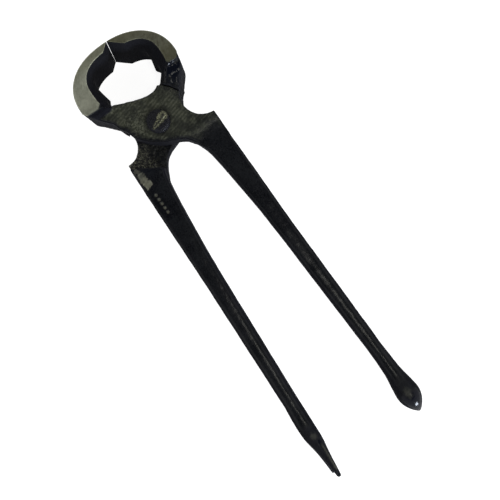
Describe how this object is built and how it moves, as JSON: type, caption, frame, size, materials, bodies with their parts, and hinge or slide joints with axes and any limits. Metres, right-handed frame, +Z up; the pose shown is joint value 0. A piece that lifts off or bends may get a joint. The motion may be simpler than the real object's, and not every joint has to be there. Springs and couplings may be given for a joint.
{
  "type": "farrier's pincers",
  "caption": "Forged end-cutting hoof pincers: crossed arms on a rivet, with a nail claw and a ball as handle ends.",
  "frame": {"origin": "centre of the tool's footprint, on the flat side of the jaws that it lies on", "axes": "+Y along the tool from the handle ends to the cutting edges, +Z up along the rivet, +X to the right, towards the ball handle"},
  "size_m": [0.0785, 0.2986, 0.03],
  "materials": {
    "lacquered_forging": "glossy black lacquer over rough drop-forged steel, rubbed through on the flat joint face",
    "ground_steel": "side faces of the jaws ground bright, then lightly tarnished",
    "rivet_steel": "black lacquer rubbed to bare steel on the crown of the head"
  },
  "bodies": {
    "claw_side": {"claw_arm": "lacquered_forging", "pivot_rivet": "rivet_steel"},
    "ball_side": {"ball_arm": "lacquered_forging"}
  },
  "joints": [
    {"name": "jaw_pivot", "type": "hinge", "parent": "claw_side", "child": "ball_side", "pos_m": [-0.00098, 0.09375, 0.015], "axis": [0, 0, 1], "range_deg": [0, 35]}
  ]
}
